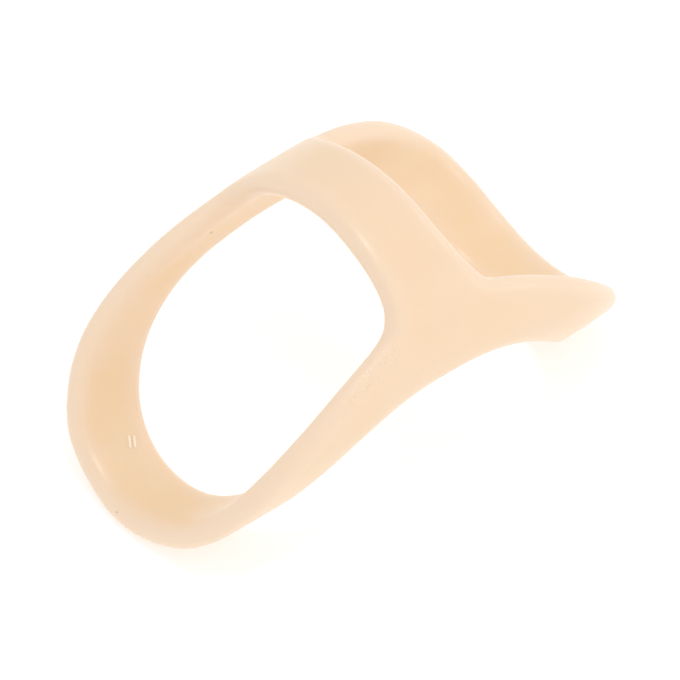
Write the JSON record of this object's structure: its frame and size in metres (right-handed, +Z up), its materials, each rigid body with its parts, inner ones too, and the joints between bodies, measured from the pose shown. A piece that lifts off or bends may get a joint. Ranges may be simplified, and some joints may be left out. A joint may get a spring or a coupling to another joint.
{
  "type": "finger splint",
  "caption": "One-piece moulded plastic finger splint: an oval finger tunnel cut to a narrow top pad and two loops, with an open window below.",
  "frame": {"origin": "middle of the footprint, on the surface that the two loops stand on", "axes": "+X along the finger, from the long loop to the short one; +Y across the finger; +Z up, to the pad"},
  "size_m": [0.0404, 0.0234, 0.0201],
  "materials": {
    "moulded_plastic": "satin, pale peach, slightly translucent"
  },
  "bodies": {
    "root": {"splint_body": "moulded_plastic"}
  },
  "joints": []
}
